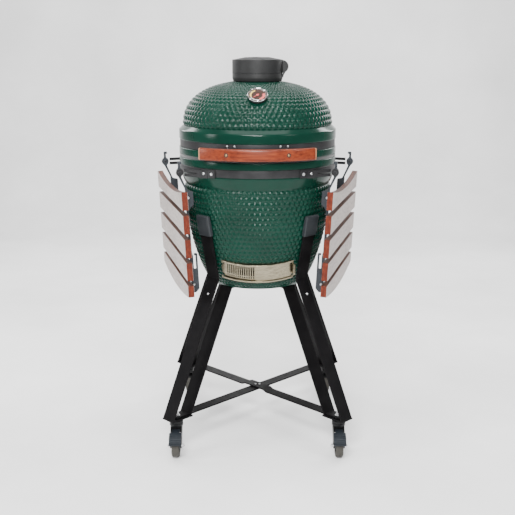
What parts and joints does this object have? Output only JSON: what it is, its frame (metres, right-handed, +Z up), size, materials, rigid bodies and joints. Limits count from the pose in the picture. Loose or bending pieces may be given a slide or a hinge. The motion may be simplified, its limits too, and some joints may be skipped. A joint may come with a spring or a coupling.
{
  "type": "kamado ceramic grill",
  "caption": "Egg-shaped ceramic charcoal grill with hinged lid, chimney vent, draft door, folding slatted side shelves and a braced stand on swivel casters.",
  "frame": {"origin": "on the floor, under the vertical axis of the ceramic body", "axes": "+Z up, -Y the front with the draft door, +X the grill's side seen on the right from the front"},
  "size_m": [0.7408, 0.6932, 1.271],
  "materials": {
    "glazed_ceramic": "glossy deep green glaze over raised bumps",
    "fire_clay": "matt fired clay",
    "felt": "matt black woven felt",
    "band_steel": "satin dark grey powder coat",
    "bright_steel": "zinc plated",
    "cast_iron": "fine cast, dark grey coat",
    "stainless": "warm brushed",
    "handle_wood": "oiled reddish brown",
    "dial": "polished bezel, dark face",
    "stand_black": "satin black powder coat",
    "shelf_wood": "weathered pale grey faces, orange brown edges",
    "bracket_steel": "slate grey coat",
    "caster_black": "satin black",
    "wheel_rubber": "grey beige tread",
    "pedal_plastic": "slate grey"
  },
  "bodies": {
    "stand": {"base_shell": "glazed_ceramic", "base_band": "band_steel", "fire_box": "fire_clay", "fire_ring": "fire_clay", "charcoal_grate": "cast_iron", "base_hinge_arm": "band_steel", "hinge_pin": "bright_steel", "hinge_spring_left": "bright_steel", "hinge_spring_right": "bright_steel", "draft_frame": "stainless", "brace_lower": "stand_black", "brace_upper": "stand_black", "leg_front_right": "stand_black", "bracket_front_right": "bracket_steel", "leg_front_left": "stand_black", "bracket_front_left": "bracket_steel", "leg_rear_right": "stand_black", "bracket_rear_right": "bracket_steel", "leg_rear_left": "stand_black", "bracket_rear_left": "bracket_steel"},
    "lid": {"lid_shell": "glazed_ceramic", "lid_gasket": "felt", "lid_band": "band_steel", "lid_hinge_arm": "band_steel", "lid_handle": "handle_wood", "handle_standoff_left": "bright_steel", "handle_standoff_right": "bright_steel", "vent_base": "cast_iron", "thermometer": "dial"},
    "vent_disc": {"vent_disc": "cast_iron"},
    "vent_cap": {"vent_cap": "cast_iron"},
    "draft_door": {"draft_door": "stainless"},
    "draft_screen": {"draft_screen": "stainless"},
    "cooking_grate": {"cooking_grate": "stainless"},
    "shelf_right": {"slat_right_1": "shelf_wood", "slat_right_2": "shelf_wood", "slat_right_3": "shelf_wood", "slat_right_4": "shelf_wood", "slat_right_5": "shelf_wood", "shelf_arm_front_right": "bracket_steel", "shelf_arm_rear_right": "bracket_steel"},
    "shelf_left": {"slat_left_1": "shelf_wood", "slat_left_2": "shelf_wood", "slat_left_3": "shelf_wood", "slat_left_4": "shelf_wood", "slat_left_5": "shelf_wood", "shelf_arm_front_left": "bracket_steel", "shelf_arm_rear_left": "bracket_steel"},
    "caster_front_right": {"fork_front_right": "caster_black"},
    "wheel_front_right": {"wheel_front_right": "wheel_rubber"},
    "brake_front_right": {"brake_front_right": "pedal_plastic"},
    "caster_front_left": {"fork_front_left": "caster_black"},
    "wheel_front_left": {"wheel_front_left": "wheel_rubber"},
    "brake_front_left": {"brake_front_left": "pedal_plastic"},
    "caster_rear_right": {"fork_rear_right": "caster_black"},
    "wheel_rear_right": {"wheel_rear_right": "wheel_rubber"},
    "brake_rear_right": {"brake_rear_right": "pedal_plastic"},
    "caster_rear_left": {"fork_rear_left": "caster_black"},
    "wheel_rear_left": {"wheel_rear_left": "wheel_rubber"},
    "brake_rear_left": {"brake_rear_left": "pedal_plastic"}
  },
  "joints": [
    {"name": "lid_hinge", "type": "hinge", "parent": "stand", "child": "lid", "pos_m": [0, 0.305, 0.957], "axis": [-1, 0, 0], "range_deg": [0, 75]},
    {"name": "vent_disc_turn", "type": "hinge", "parent": "lid", "child": "vent_disc", "pos_m": [0, 0, 1.215], "axis": [0, 0, 1], "range_deg": [0, 36]},
    {"name": "vent_cap_hinge", "type": "hinge", "parent": "lid", "child": "vent_cap", "pos_m": [0.088, 0, 1.238], "axis": [0, 1, 0], "range_deg": [0, 90]},
    {"name": "draft_door_slide", "type": "hinge", "parent": "stand", "child": "draft_door", "pos_m": [0, 0, 0.6619], "axis": [0, 0.342, -0.9397], "range_deg": [0, 27]},
    {"name": "draft_screen_slide", "type": "hinge", "parent": "stand", "child": "draft_screen", "pos_m": [0, 0, 0.6619], "axis": [0, -0.342, 0.9397], "range_deg": [0, 27]},
    {"name": "cooking_grate_lift", "type": "slide", "parent": "stand", "child": "cooking_grate", "axis": [0, 0, 1], "range_m": [0, 0.08]},
    {"name": "shelf_fold_right", "type": "hinge", "parent": "stand", "child": "shelf_right", "pos_m": [0.2855, -0.015, 0.913], "axis": [-0.2453, -0.9694, 0], "range_deg": [0, 93]},
    {"name": "shelf_fold_left", "type": "hinge", "parent": "stand", "child": "shelf_left", "pos_m": [-0.2855, -0.015, 0.913], "axis": [-0.2453, 0.9694, 0], "range_deg": [0, 93]},
    {"name": "caster_swivel_front_right", "type": "hinge", "parent": "stand", "child": "caster_front_right", "pos_m": [0.26516, -0.26516, 0.11], "axis": [0, 0, 1], "continuous": true},
    {"name": "wheel_spin_front_right", "type": "hinge", "parent": "caster_front_right", "child": "wheel_front_right", "pos_m": [0.26516, -0.29517, 0.0375], "axis": [1, 0, 0], "continuous": true},
    {"name": "brake_press_front_right", "type": "hinge", "parent": "caster_front_right", "child": "brake_front_right", "pos_m": [0.26516, -0.28116, 0.086], "axis": [1, 0, 0], "range_deg": [0, 6], "stiffness_Nm_per_rad": 0.6},
    {"name": "caster_swivel_front_left", "type": "hinge", "parent": "stand", "child": "caster_front_left", "pos_m": [-0.26516, -0.26516, 0.11], "axis": [0, 0, 1], "continuous": true},
    {"name": "wheel_spin_front_left", "type": "hinge", "parent": "caster_front_left", "child": "wheel_front_left", "pos_m": [-0.26516, -0.29517, 0.0375], "axis": [1, 0, 0], "continuous": true},
    {"name": "brake_press_front_left", "type": "hinge", "parent": "caster_front_left", "child": "brake_front_left", "pos_m": [-0.26516, -0.28116, 0.086], "axis": [1, 0, 0], "range_deg": [0, 6], "stiffness_Nm_per_rad": 0.6},
    {"name": "caster_swivel_rear_right", "type": "hinge", "parent": "stand", "child": "caster_rear_right", "pos_m": [0.26516, 0.26516, 0.11], "axis": [0, 0, 1], "continuous": true},
    {"name": "wheel_spin_rear_right", "type": "hinge", "parent": "caster_rear_right", "child": "wheel_rear_right", "pos_m": [0.26516, 0.29517, 0.0375], "axis": [1, 0, 0], "continuous": true},
    {"name": "brake_press_rear_right", "type": "hinge", "parent": "caster_rear_right", "child": "brake_rear_right", "pos_m": [0.26516, 0.28116, 0.086], "axis": [-1, 0, 0], "range_deg": [0, 6], "stiffness_Nm_per_rad": 0.6},
    {"name": "caster_swivel_rear_left", "type": "hinge", "parent": "stand", "child": "caster_rear_left", "pos_m": [-0.26516, 0.26516, 0.11], "axis": [0, 0, 1], "continuous": true},
    {"name": "wheel_spin_rear_left", "type": "hinge", "parent": "caster_rear_left", "child": "wheel_rear_left", "pos_m": [-0.26516, 0.29517, 0.0375], "axis": [1, 0, 0], "continuous": true},
    {"name": "brake_press_rear_left", "type": "hinge", "parent": "caster_rear_left", "child": "brake_rear_left", "pos_m": [-0.26516, 0.28116, 0.086], "axis": [-1, 0, 0], "range_deg": [0, 6], "stiffness_Nm_per_rad": 0.6}
  ]
}
